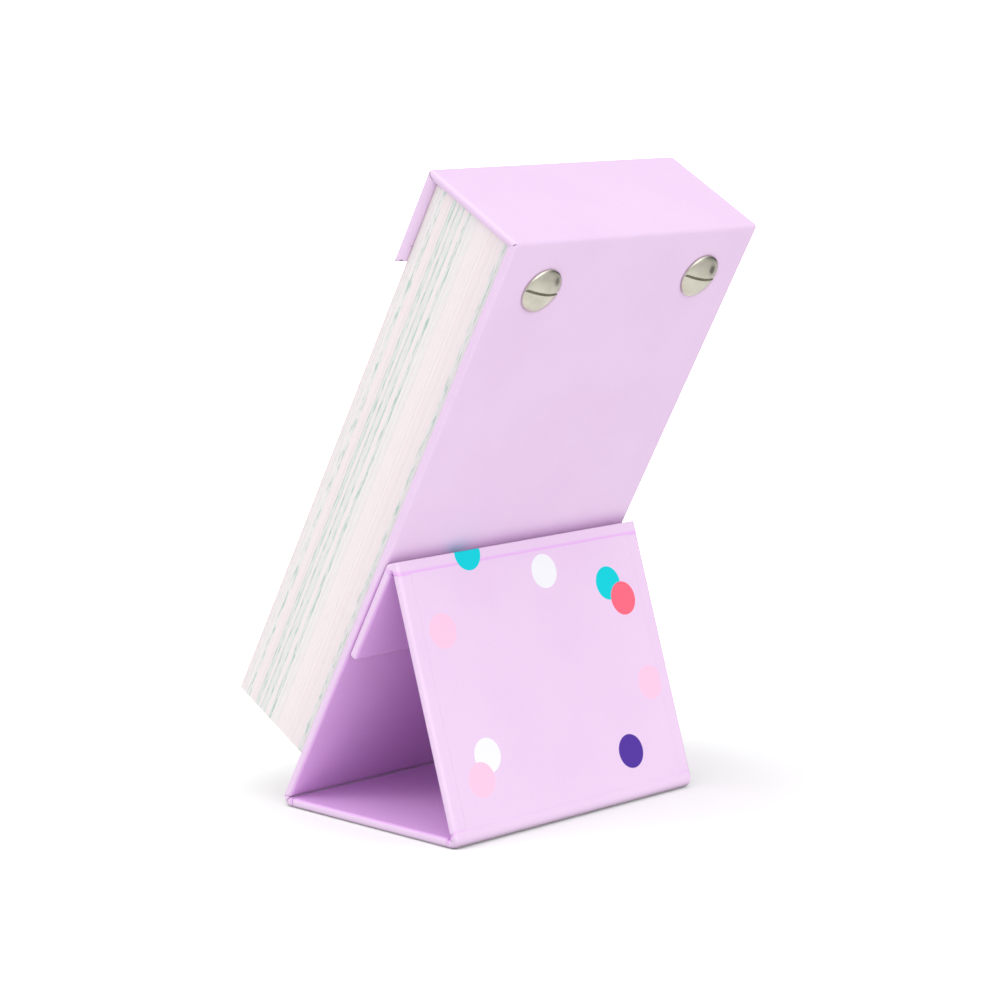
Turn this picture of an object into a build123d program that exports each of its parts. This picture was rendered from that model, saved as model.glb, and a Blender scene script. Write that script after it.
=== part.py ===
from build123d import *
import os
from math import acos, asin, cos, degrees, radians, sin

# Tear-off day calendar: a strip of covered board panels folded into a lectern stand, with a pad of
# day leaves held under its front flap by two binding screws. Millimetres, +Z up, the leaves face -Y,
# and the origin is the middle of the base's underside.

# Covered boards
case_width = 72.0
board_thickness = 1.75
cover_thickness = 0.15  # paper on the outer side of the strip
lining_thickness = 0.15  # paper on the pad's side of the strip
turn_in = 3.2  # cover paper folded over a board's edge onto the lining side
fold_gap = 1.0  # bare paper from a board's end to its fold line

# Lengths along the strip
back_length = 141.0  # lower fold line to the outside of the top
base_length = 49.8  # lower fold line to rear fold line
stand_length = 55.9  # rear fold line to apex fold line
tuck_length = 23.5  # apex fold line to the tuck flap's free end
front_length = 21.8  # outside of the top to the front flap's lower edge
lean_angle = 30.0  # back panel from the vertical, in degrees
tuck_gap = 0.2  # tuck flap to back panel

# Pad of day leaves
leaf_thickness = 0.065
pad_inset = 1.5  # leaf edge to case edge
pad_lift = 10.0  # lower fold line to the foot of the pad
pad_head_gap = 0.2  # head of the pad to the top panel
pad_slack = 0.15  # spare room under the front flap
leaf_gap = 0.05  # today's leaf to the leaf behind it
perforation_drop = 0.8  # front flap's lower edge to the perforation
perforation_gap = 0.1  # width of the perforated line
month_days = {
    "january": 31,
    "february": 28,
    "march": 31,
    "april": 30,
    "may": 31,
    "june": 30,
    "july": 31,
    "august": 31,
    "september": 30,
    "october": 31,
    "november": 30,
    "december": 31,
}

# Binding posts and screws
post_inset = 12.5  # case edge to the post axis
post_drop = 11.5  # outside of the top to the post axis
post_diameter = 5.0
post_hole_clearance = 0.2  # on the radius
post_end_gap = 1.2  # back panel's rear face to the end of the post
head_diameter = 10.0
head_rim = 0.5
head_rise = 1.3
thread_diameter = 4.0
thread_clearance = 0.05  # on the radius
thread_length = 7.0
bore_spare = 2.0  # depth of the post's bore beyond the screw's tip
slot_width = 1.1
slot_depth = 0.9
slot_angle = 8.0  # screw slot from the level line at rest, in degrees

# Magnets that hold the tuck flap to the back panel
magnet_diameter = 8.0
magnet_thickness = 1.0
magnet_inset = 16.0  # case edge to the magnet axis
magnet_drop = 12.0  # apex fold line to the magnet axis
magnet_clearance = 0.05  # on the radius and in depth

# Sizes that follow
panel_thickness = cover_thickness + board_thickness + lining_thickness
board_face = cover_thickness + board_thickness
board_width = case_width - 2 * cover_thickness
lining_width = case_width - 2 * turn_in
pad_width = case_width - 2 * pad_inset
leaf_count = sum(month_days.values())
case_depth = 2 * panel_thickness + leaf_count * leaf_thickness + pad_slack
top_inside = back_length - panel_thickness
front_inside = case_depth - panel_thickness
front_low = back_length - front_length
pad_high = top_inside - pad_head_gap
perforation = front_low - perforation_drop
today_depth = panel_thickness + (leaf_count - 1) * leaf_thickness + leaf_gap
post_hole = post_diameter / 2 + post_hole_clearance
post_bore = thread_diameter / 2 + thread_clearance
head_radius = head_diameter / 2
dome_radius = (head_radius**2 + head_rise**2) / (2 * head_rise)
dome_half_angle = asin(head_radius / dome_radius) / 2
magnet_seat = magnet_diameter / 2 + magnet_clearance

# Fold lines and the directions of the leaning panels
lean = radians(lean_angle)
across = Vector(1, 0, 0)
down = Vector(0, 0, -1)
up_back = Vector(0, sin(lean), cos(lean))
out_front = Vector(0, -cos(lean), sin(lean))
lower_fold = Vector(0, -base_length / 2, panel_thickness)
rear_fold = Vector(0, base_length / 2, panel_thickness)
apex_reach = base_length * cos(lean) - panel_thickness - tuck_gap
stand_turn = lean + acos(apex_reach / stand_length)  # base to stand, inside the fold
up_stand = Vector(0, -cos(stand_turn), sin(stand_turn))
out_stand = Vector(0, sin(stand_turn), cos(stand_turn))
apex_fold = rear_fold + up_stand * stand_length
apex_along = (apex_fold - lower_fold).dot(up_back)
stand_angle = degrees(stand_turn)

# Section planes: x runs from the cover face to the lining face, y along the panel
base_plane = Plane(origin=lower_fold, x_dir=down, z_dir=across)
case_plane = Plane(origin=lower_fold, x_dir=out_front, z_dir=-across)
stand_plane = Plane(origin=rear_fold, x_dir=out_stand, z_dir=across)
tuck_plane = Plane(origin=apex_fold, x_dir=out_front, z_dir=across)


def finish(piece, name):
    """Names a finished piece and writes it out."""
    piece.label = name
    export_step(piece, f"parts/{name}.step")


def polar(radius, angle):
    """Point at a radius and an angle in degrees."""
    return (radius * cos(radians(angle)), radius * sin(radians(angle)))


def slab(plane, near, far, low, high):
    """Section of a flat layer, near to far through the panel and low to high along it."""
    with BuildSketch(plane) as section:
        with Locations(((near + far) / 2, (low + high) / 2)):
            Rectangle(far - near, high - low)
    return section.sketch


def case_band(near, far, back_low, flap_low):
    """Section of a layer that runs up the back, over the top and down the front flap."""
    outer = panel_thickness - near
    inner = panel_thickness - far
    with BuildSketch(case_plane) as section:
        with BuildLine():
            Line((near, back_low), (near, top_inside))
            CenterArc((panel_thickness, top_inside), outer, 180, -90)
            Line((panel_thickness, back_length - near), (front_inside, back_length - near))
            CenterArc((front_inside, top_inside), outer, 90, -90)
            Line((case_depth - near, top_inside), (case_depth - near, flap_low))
            Line((case_depth - near, flap_low), (case_depth - far, flap_low))
            Line((case_depth - far, flap_low), (case_depth - far, top_inside))
            if far < panel_thickness:
                CenterArc((front_inside, top_inside), inner, 0, 90)
                CenterArc((panel_thickness, top_inside), inner, 90, 90)
            Line((front_inside, back_length - far), (panel_thickness, back_length - far))
            Line((far, top_inside), (far, back_low))
            Line((far, back_low), (near, back_low))
        make_face()
    return section.sketch


def paired_axes(middle, inset):
    """Planes square to the back panel and facing the front, one in from each edge of the case."""
    reach = case_width / 2 - inset
    sides = (-reach, reach)
    return [Plane(origin=middle + across * side, x_dir=across, z_dir=out_front) for side in sides]


def discs(planes, radius, low, high, mode):
    """Adds or cuts a cylinder from low to high along each plane's normal."""
    with Locations(*[plane.offset(low) for plane in planes]):
        Cylinder(radius, high - low, align=(Align.CENTER, Align.CENTER, Align.MIN), mode=mode)


def cut_post_holes():
    """Cuts both post holes right through the case."""
    discs(post_axes, post_hole, -panel_thickness, case_depth + panel_thickness, Mode.SUBTRACT)


def cover_panel(plane, low, high, free_end):
    """Makes a panel's board, cover paper and lining paper, flush with each other."""
    board_high = high - cover_thickness if free_end else high
    lining_high = high - turn_in if free_end else high
    board_section = slab(plane, cover_thickness, board_face, low, board_high)
    lining_section = slab(plane, board_face, panel_thickness, low, lining_high)
    with BuildPart() as board:
        extrude(board_section, amount=board_width / 2, both=True)
    with BuildPart() as lining:
        extrude(lining_section, amount=lining_width / 2, both=True)
    with BuildPart() as cover:
        extrude(slab(plane, 0, panel_thickness, low, high), amount=case_width / 2, both=True)
        extrude(board_section, amount=board_width / 2, both=True, mode=Mode.SUBTRACT)
        extrude(lining_section, amount=lining_width / 2, both=True, mode=Mode.SUBTRACT)
    return board.part, cover.part, lining.part


def fold_strip(plane, sweep):
    """Makes the two plies of paper that go round the outside of a fold, board end to board end."""
    outer = panel_thickness
    inner = board_thickness
    with BuildPart() as strip:
        with BuildSketch(plane):
            with BuildLine():
                CenterArc((0, 0), outer, 0, sweep)
                Line(polar(outer, sweep), polar(inner, sweep))
                CenterArc((0, 0), inner, sweep, -sweep)
                Line((inner, 0), (outer, 0))
            make_face()
            for turn, side in ((0, -1), (sweep, 1)):
                with Locations(Location((0, 0, 0), (0, 0, turn))):
                    with Locations(((inner + outer) / 2, side * fold_gap / 2)):
                        Rectangle(outer - inner, fold_gap)
        extrude(amount=case_width / 2, both=True)
    return strip.part


def head_outline(shank_radius, face, side):
    """Half outline of a low domed head that stands on a face, drawn from its shank to its crown."""
    shoulder = face + side * head_rim
    crown = shoulder + side * head_rise
    middle_radius = dome_radius * sin(dome_half_angle)
    middle = crown - side * dome_radius * (1 - cos(dome_half_angle))
    Line((shank_radius, face), (head_radius, face))
    Line((head_radius, face), (head_radius, shoulder))
    ThreePointArc((head_radius, shoulder), (middle_radius, middle), (0, crown))
    return crown


def leaf_block(near, far, low, high, punched):
    """Makes a block of leaves, with the two post holes if it is punched."""
    with BuildPart() as block:
        extrude(slab(case_plane, near, far, low, high), amount=pad_width / 2, both=True)
        if punched:
            cut_post_holes()
    return block.part


os.makedirs("parts", exist_ok=True)

post_axes = paired_axes(lower_fold + up_back * (back_length - post_drop), post_inset)
back_magnet_axes = paired_axes(lower_fold + up_back * (apex_along - magnet_drop), magnet_inset)
tuck_magnet_axes = paired_axes(apex_fold - up_back * magnet_drop, magnet_inset)

# Base and stand
for name, plane, length in (("base", base_plane, base_length), ("stand", stand_plane, stand_length)):
    board, cover, lining = cover_panel(plane, fold_gap, length - fold_gap, False)
    finish(board, f"{name}_board")
    finish(cover, f"{name}_cover")
    finish(lining, f"{name}_lining")

# Tuck flap, with magnets let into the face of its board that meets the back panel
plain_tuck_board, tuck_cover, tuck_lining = cover_panel(tuck_plane, fold_gap, tuck_length, True)
with BuildPart() as tuck_board:
    add(plain_tuck_board)
    tuck_seat_low = board_face - magnet_thickness - magnet_clearance
    discs(tuck_magnet_axes, magnet_seat, tuck_seat_low, board_face, Mode.SUBTRACT)
with BuildPart() as tuck_magnets:
    discs(tuck_magnet_axes, magnet_diameter / 2, board_face - magnet_thickness, board_face, Mode.ADD)
finish(tuck_board.part, "tuck_board")
finish(tuck_cover, "tuck_cover")
finish(tuck_lining, "tuck_lining")
finish(tuck_magnets.part, "tuck_magnets")

# Paper hinges at the lower, rear and apex folds
lower_strip = fold_strip(Plane(origin=lower_fold, x_dir=down, z_dir=-across), 90 + lean_angle)
rear_strip = fold_strip(Plane(origin=rear_fold, x_dir=down, z_dir=across), 180 - stand_angle)
apex_strip = fold_strip(
    Plane(origin=apex_fold, x_dir=out_stand, z_dir=across), 90 + stand_angle - lean_angle
)
finish(lower_strip, "lower_fold_strip")
finish(rear_strip, "rear_fold_strip")
finish(apex_strip, "apex_fold_strip")

# Boards of the case, with magnets let into the rear face of the back board
with BuildPart() as back_board:
    back_section = slab(case_plane, cover_thickness, board_face, fold_gap, top_inside - fold_gap)
    extrude(back_section, amount=board_width / 2, both=True)
    cut_post_holes()
    back_seat_high = cover_thickness + magnet_thickness + magnet_clearance
    discs(back_magnet_axes, magnet_seat, cover_thickness, back_seat_high, Mode.SUBTRACT)
with BuildPart() as back_magnets:
    back_magnet_high = cover_thickness + magnet_thickness
    discs(back_magnet_axes, magnet_diameter / 2, cover_thickness, back_magnet_high, Mode.ADD)
with BuildPart() as top_board:
    top_section = slab(
        case_plane,
        panel_thickness + fold_gap,
        front_inside - fold_gap,
        top_inside + lining_thickness,
        back_length - cover_thickness,
    )
    extrude(top_section, amount=board_width / 2, both=True)
with BuildPart() as front_board:
    front_section = slab(
        case_plane,
        front_inside + lining_thickness,
        case_depth - cover_thickness,
        front_low + cover_thickness,
        top_inside - fold_gap,
    )
    extrude(front_section, amount=board_width / 2, both=True)
    cut_post_holes()
finish(back_board.part, "back_board")
finish(back_magnets.part, "back_magnets")
finish(top_board.part, "top_board")
finish(front_board.part, "front_board")

# Papers of the case, each one sheet over the front flap, the top and the back panel
lining_band = case_band(board_face, panel_thickness, fold_gap, front_low + turn_in)
with BuildPart() as case_lining:
    extrude(lining_band, amount=lining_width / 2, both=True)
    cut_post_holes()
with BuildPart() as case_cover:
    extrude(case_band(0, panel_thickness, fold_gap, front_low), amount=case_width / 2, both=True)
    board_band = case_band(cover_thickness, board_face, fold_gap, front_low + cover_thickness)
    extrude(board_band, amount=board_width / 2, both=True, mode=Mode.SUBTRACT)
    extrude(lining_band, amount=lining_width / 2, both=True, mode=Mode.SUBTRACT)
    cut_post_holes()
finish(case_lining.part, "case_lining")
finish(case_cover.part, "case_cover")

# Leaves of each month, last month against the back panel; today's leaf is the first one's first
block_near = panel_thickness
first_month = next(iter(month_days))
for month in reversed(month_days):
    leaves = month_days[month] - 1 if month == first_month else month_days[month]
    block_far = block_near + leaves * leaf_thickness
    finish(leaf_block(block_near, block_far, pad_lift, pad_high, True), f"{month}_leaves")
    block_near = block_far

today_far = today_depth + leaf_thickness
today_high = perforation - perforation_gap
finish(leaf_block(today_depth, today_far, pad_lift, today_high, False), "today_leaf")
finish(leaf_block(today_depth, today_far, perforation, pad_high, True), "today_stub")

# Binding posts, headed on the front flap, and the screws that enter them from behind
for name, axis_plane in zip(("left", "right"), post_axes):
    outline_plane = Plane(origin=axis_plane.origin, x_dir=across, z_dir=-up_back)
    turning_axis = Axis(axis_plane.origin, out_front)
    bore_end = thread_length + bore_spare
    with BuildPart() as post:
        with BuildSketch(outline_plane):
            with BuildLine():
                post_crown = head_outline(post_diameter / 2, case_depth, 1)
                Line((0, post_crown), (0, bore_end))
                Line((0, bore_end), (post_bore, bore_end))
                Line((post_bore, bore_end), (post_bore, post_end_gap))
                Line((post_bore, post_end_gap), (post_diameter / 2, post_end_gap))
                Line((post_diameter / 2, post_end_gap), (post_diameter / 2, case_depth))
            make_face()
        revolve(axis=turning_axis)
    with BuildPart() as screw:
        with BuildSketch(outline_plane):
            with BuildLine():
                screw_crown = head_outline(thread_diameter / 2, 0, -1)
                Line((0, screw_crown), (0, thread_length))
                Line((0, thread_length), (thread_diameter / 2, thread_length))
                Line((thread_diameter / 2, thread_length), (thread_diameter / 2, 0))
            make_face()
        revolve(axis=turning_axis)
        with BuildSketch(axis_plane.offset(screw_crown)):
            Rectangle(2 * head_diameter, slot_width, rotation=slot_angle)
        extrude(amount=slot_depth, mode=Mode.SUBTRACT)
    finish(post.part, f"{name}_post")
    finish(screw.part, f"{name}_screw")
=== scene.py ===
import math

import bmesh
import bpy
import numpy as np
from mathutils import Matrix, Vector, geometry


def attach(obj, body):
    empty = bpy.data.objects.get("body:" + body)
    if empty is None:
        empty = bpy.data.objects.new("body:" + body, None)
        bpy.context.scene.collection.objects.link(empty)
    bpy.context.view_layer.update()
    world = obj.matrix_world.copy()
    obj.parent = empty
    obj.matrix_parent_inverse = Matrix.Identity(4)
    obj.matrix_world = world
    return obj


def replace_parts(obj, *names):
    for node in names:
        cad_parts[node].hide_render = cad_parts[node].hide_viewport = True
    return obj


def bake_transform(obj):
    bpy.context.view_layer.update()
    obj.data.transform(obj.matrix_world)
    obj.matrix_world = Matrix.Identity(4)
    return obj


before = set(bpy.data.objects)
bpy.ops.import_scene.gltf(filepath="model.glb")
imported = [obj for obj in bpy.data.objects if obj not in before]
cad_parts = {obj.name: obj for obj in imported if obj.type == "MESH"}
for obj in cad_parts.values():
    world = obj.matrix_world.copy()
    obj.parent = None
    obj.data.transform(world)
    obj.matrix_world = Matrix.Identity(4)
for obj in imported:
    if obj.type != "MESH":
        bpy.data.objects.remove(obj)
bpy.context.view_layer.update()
scene = bpy.context.scene

# Sizes in millimetres, the same as those of the solids
MM = 0.001
HALF = 36.0  # half the case's width
THICK = 2.05  # a covered panel
PAPER = 0.15  # cover or lining paper
TURN_IN = 3.2
FOLD_GAP = 1.0  # a board's end to its fold line
BASE_LENGTH = 49.8  # lower fold line to rear fold line
BASE_END = BASE_LENGTH - FOLD_GAP
STAND_LENGTH = 55.9  # rear fold line to apex fold line
STAND_END = STAND_LENGTH - FOLD_GAP
TUCK_END = 23.5
TUCK_GAP = 0.2  # tuck flap to back panel
LEAF = 0.065
MONTHS = (  # leaves of each month behind today's, which is the first of january
    ("january", 30), ("february", 28), ("march", 31), ("april", 30), ("may", 31), ("june", 30),
    ("july", 31), ("august", 31), ("september", 30), ("october", 31), ("november", 30), ("december", 31),
)
NEXT_FRONT = THICK + sum(days for _, days in MONTHS) * LEAF  # front of the leaf behind today's
LEAF_GAP = 0.05  # today's leaf to the one behind it
TODAY_DEPTH = NEXT_FRONT + LEAF_GAP
TODAY_FRONT = TODAY_DEPTH + LEAF
PAD_GAP = 0.1  # today's leaf to the front flap
FRONT_INSIDE = TODAY_FRONT + PAD_GAP
CASE_DEPTH = FRONT_INSIDE + THICK
CASE_HEIGHT = 141.0  # lower fold line to the outside of the top
TOP_INSIDE = CASE_HEIGHT - THICK
FLAP_LENGTH = 21.8  # the front flap from the outside of the top
FRONT_LOW = CASE_HEIGHT - FLAP_LENGTH
PAD_INSET = 1.5  # pad's side to the case's side
PAD_HALF = HALF - PAD_INSET
PAD_LOW = 10.0
PAD_ROOM = 0.2  # pad to the top
PAD_HIGH = TOP_INSIDE - PAD_ROOM
STUB_SHOWN = 0.8  # bound head of today's leaf below the flap
STUB_LOW = FRONT_LOW - STUB_SHOWN
TEAR_GAP = 0.1
TODAY_HIGH = STUB_LOW - TEAR_GAP
POST_INSET = 12.5  # binding axis to the case's side
POST_X = HALF - POST_INSET
POST_DROP = 11.5  # binding axis to the outside of the top
POST_ALONG = CASE_HEIGHT - POST_DROP
POST_HOLE = 2.7

# Directions and fold lines
LEAN = math.radians(30.0)
STAND_TURN = LEAN + math.acos((BASE_LENGTH * math.cos(LEAN) - THICK - TUCK_GAP) / STAND_LENGTH)
X = np.array((1.0, 0.0, 0.0))
Y = np.array((0.0, 1.0, 0.0))
Z = np.array((0.0, 0.0, 1.0))
UP = np.array((0.0, math.sin(LEAN), math.cos(LEAN)))
OUT = np.array((0.0, -math.cos(LEAN), math.sin(LEAN)))
UP_STAND = np.array((0.0, -math.cos(STAND_TURN), math.sin(STAND_TURN)))
OUT_STAND = np.array((0.0, math.sin(STAND_TURN), math.cos(STAND_TURN)))
LOWER = np.array((0.0, -BASE_LENGTH / 2, THICK))
REAR = np.array((0.0, BASE_LENGTH / 2, THICK))
APEX = REAR + STAND_LENGTH * UP_STAND

rng = np.random.default_rng(365)


# Meshes

def new_object(name, verts, faces):
    mesh = bpy.data.meshes.new(name)
    mesh.from_pydata([tuple(map(float, v)) for v in verts], [], faces)
    mesh.update()
    work = bmesh.new()
    work.from_mesh(mesh)
    bmesh.ops.recalc_face_normals(work, faces=work.faces)
    if work.calc_volume(signed=True) < 0:
        bmesh.ops.reverse_faces(work, faces=work.faces)
    work.to_mesh(mesh)
    work.free()
    obj = bpy.data.objects.new(name, mesh)
    scene.collection.objects.link(obj)
    return obj


def loft(name, rings):
    """Closed mesh through rings that have the same number of points."""
    count = len(rings[0])
    verts = [p for points in rings for p in points]
    faces = []
    for i in range(len(rings) - 1):
        for j in range(count):
            k = (j + 1) % count
            faces.append((i * count + j, i * count + k, (i + 1) * count + k, (i + 1) * count + j))
    last = (len(rings) - 1) * count
    faces.append(tuple(range(count)))
    faces.append(tuple(range(last, last + count)))
    return new_object(name, verts, faces)


def rounded(half, near, far, radius, steps=4, hold=0.2, far_radius=None):
    """Section of a panel, points (x, depth), with rounded corners between flat strips."""
    points = []
    inner = far_radius or radius
    side = min(hold, max(0.3 * (far - near - radius - inner), 0.001))
    corners = (
        (half - radius, near + radius, -90, radius, hold, side),
        (half - inner, far - inner, 0, inner, side, hold),
        (inner - half, far - inner, 90, inner, hold, side),
        (radius - half, near + radius, 180, radius, side, hold),
    )
    for x, depth, turn, r, first, final in corners:
        arc = []
        for k in range(steps + 1):
            a = math.radians(turn + 90 * k / steps)
            arc.append((x + r * math.cos(a), depth + r * math.sin(a)))
        a, b = math.radians(turn), math.radians(turn + 90)
        before = (arc[0][0] + first * math.sin(a), arc[0][1] - first * math.cos(a))
        after = (arc[-1][0] - final * math.sin(b), arc[-1][1] + final * math.cos(b))
        points += [before, *arc, after]
    return points


def eased(start, stop, first, final, steps=4, hold=0.25):
    """Stations (place, inset) along a bar whose two ends are rounded off."""
    turns = [math.pi / 2 * k / steps for k in range(steps + 1)]
    places = [(start + first * (1 - math.cos(t)), first * (1 - math.sin(t))) for t in turns]
    places += [(start + first + hold, 0.0), (stop - final - hold, 0.0)]
    return places + [(stop - final * (1 - math.cos(t)), final * (1 - math.sin(t))) for t in reversed(turns)]


def flat(origin, along, through):
    """Gives the cover face's point and the way through the panel at a place along it."""
    return lambda s: (origin + s * along, through)


CORNER = 0.7  # outer radius of the case's two corners
ARC = CORNER * math.pi / 2
LEG = THICK - CORNER
ZONE = 2 * LEG + ARC  # length of the outer face round a corner
TOP_START = TOP_INSIDE + ZONE
TOP_STOP = TOP_START + FRONT_INSIDE - THICK
FLAP_START = TOP_STOP + ZONE
FLAP_STOP = FLAP_START + TOP_INSIDE - FRONT_LOW
CORNER_FILL = 0.98  # share of the way to the inside corner that the wrap reaches


def case_spot(depth, along):
    return LOWER + depth * OUT + along * UP


def corner_spot(u):
    """Depth and along of the outer face round the rear corner, u from its start."""
    if u <= LEG:
        return 0.0, TOP_INSIDE + u
    if u < LEG + ARC:
        a = (u - LEG) / CORNER
        return CORNER * (1 - math.cos(a)), CASE_HEIGHT - CORNER * (1 - math.sin(a))
    return CORNER + u - LEG - ARC, CASE_HEIGHT


def case_line(s):
    """The same along the case: up the back, over the top and down the front flap."""
    if s <= TOP_INSIDE:
        return LOWER + s * UP, OUT
    if s < TOP_START:
        outer = case_spot(*corner_spot(s - TOP_INSIDE))
        return outer, (case_spot(THICK, TOP_INSIDE) - outer) * CORNER_FILL / THICK
    if s <= TOP_STOP:
        return case_spot(THICK + s - TOP_START, CASE_HEIGHT), -UP
    if s < FLAP_START:
        depth, along = corner_spot(FLAP_START - s)
        outer = case_spot(CASE_DEPTH - depth, along)
        return outer, (case_spot(FRONT_INSIDE, TOP_INSIDE) - outer) * CORNER_FILL / THICK
    return case_spot(CASE_DEPTH, TOP_INSIDE - s + FLAP_START), -OUT


def case_bends(steps):
    """Places that follow the case's two corners."""
    places = []
    for low in (TOP_INSIDE, TOP_STOP):
        places += [low - 0.25, low, *np.linspace(low + LEG, low + LEG + ARC, steps + 1)]
        places += [low + ZONE, low + ZONE + 0.25]
    return places


def bar(name, line, places, radius, margin=0.0, slants=(0.0, 0.0), soft_from=math.inf, soft=0.0):
    """Panel through stations (place, inset) along a line, drawn in by its margin.

    Slants tip its two ends. Beyond soft_from the corners of the inner face are rounder."""
    rings = []
    first, last = places[0][0] + 1.0, places[-1][0] - 1.0
    for s, inset in places:
        inset = inset + margin
        inner = soft if s > soft_from else radius
        near_radius, far_radius = max(radius - inset, 0.02), max(inner - inset, 0.02)
        section = rounded(HALF - inset, inset, THICK - inset, near_radius, far_radius=far_radius)
        ring = []
        for x, d in section:
            tip = slants[0] if s < first else slants[1] if s > last else 0.0
            point, through = line(s - tip * d)
            ring.append(point + x * X + d * through)
        rings.append(ring)
    return loft(name, rings)


def block(line, places, half, near, far):
    """Plain cutter with a rectangular section along a line."""
    rings = []
    for s in places:
        point, through = line(s)
        section = ((-half, near), (half, near), (half, far), (-half, far))
        rings.append([point + x * X + d * through for x, d in section])
    return loft("cutter", rings)


def prism(outline, low, high, origin, right, up, out):
    """Cutter or plate: a flat outline (right, up) drawn from low to high along out."""
    rings = [[origin + a * right + b * up + h * out for a, b in outline] for h in (low, high)]
    return loft("cutter", rings)


def thin_cut(points, width, deep, side, origin, right, up):
    """Cutter for a thin gash along points (right, up) in the side of the part at +X or -X."""
    path = np.array(points, float)
    tangent = np.gradient(path, axis=0)
    tangent /= np.linalg.norm(tangent, axis=1)[:, None]
    normal = np.stack((-tangent[:, 1], tangent[:, 0]), 1) * width / 2
    outline = [*map(tuple, path + normal), *map(tuple, (path - normal)[::-1])]
    low, high = (HALF - deep, HALF + deep) if side > 0 else (-HALF - deep, -HALF + deep)
    return prism(outline, low, high, origin, right, up, X)


def circle(x, y, radius, count):
    turns = [2 * math.pi * k / count for k in range(count)]
    return [(x + radius * math.cos(t), y + radius * math.sin(t)) for t in turns]


def weld(mesh):
    """Joins points that coincide, drops faces without area and closes pinholes."""
    work = bmesh.new()
    work.from_mesh(mesh)
    bmesh.ops.remove_doubles(work, verts=work.verts, dist=0.002)
    bmesh.ops.dissolve_degenerate(work, edges=work.edges, dist=0.001)
    bmesh.ops.holes_fill(work, edges=[e for e in work.edges if e.is_boundary], sides=0)
    work.to_mesh(mesh)
    work.free()


def carve(obj, cutters):
    """Cuts each cutter out of obj and deletes the cutter."""
    for cutter in cutters:
        cut = obj.modifiers.new("cut", "BOOLEAN")
        cut.operation, cut.solver, cut.object = "DIFFERENCE", "EXACT", cutter
        graph = bpy.context.evaluated_depsgraph_get()
        mesh = bpy.data.meshes.new_from_object(obj.evaluated_get(graph))
        obj.modifiers.clear()
        old, obj.data = obj.data, mesh
        bpy.data.meshes.remove(old)
        used = cutter.data
        bpy.data.objects.remove(cutter)
        bpy.data.meshes.remove(used)
    weld(obj.data)
    return obj


def settle(obj, material, crease=35.0):
    """Brings a piece to metres, smooths its round faces and gives it its finish."""
    mesh = obj.data
    mesh.transform(Matrix.Scale(MM, 4))
    mesh.name = obj.name
    mesh.polygons.foreach_set("use_smooth", [True] * len(mesh.polygons))
    mesh.set_sharp_from_angle(angle=math.radians(crease))
    mesh.materials.clear()
    mesh.materials.append(material)
    return obj


def dress(obj, material, node, body, crease=35.0):
    """Finishes a piece that stands in for a solid and lets it ride on its body."""
    settle(obj, material, crease)
    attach(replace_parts(obj, node), body)


def points_of(obj):
    co = np.empty(len(obj.data.vertices) * 3)
    obj.data.vertices.foreach_get("co", co)
    return co.reshape(-1, 3)


def give_value(obj, name, values):
    layer = obj.data.attributes.new(name, "FLOAT", "POINT")
    layer.data.foreach_set("value", np.asarray(values, np.float32))


def give_map(obj, across, along):
    """UV map in millimetres of the unrolled sheet."""
    layer = obj.data.uv_layers.new(name="sheet")
    index = np.empty(len(obj.data.loops), np.int32)
    obj.data.loops.foreach_get("vertex_index", index)
    uv = np.stack((np.asarray(across)[index], np.asarray(along)[index]), 1)
    layer.data.foreach_set("uv", uv.astype(np.float32).ravel())


WEAR_REACH = 0.55


def give_wear(obj, depth):
    """Marks the rounded side edges of a panel, where the print rubs thin."""
    x = np.abs(points_of(obj)[:, 0])
    aside = np.clip((HALF - x) / WEAR_REACH, 0, 1)
    deep = np.clip(np.minimum(depth, THICK - depth) / WEAR_REACH, 0, 1)
    give_value(obj, "wear", 1 - np.maximum(aside, deep))


# Materials

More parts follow.
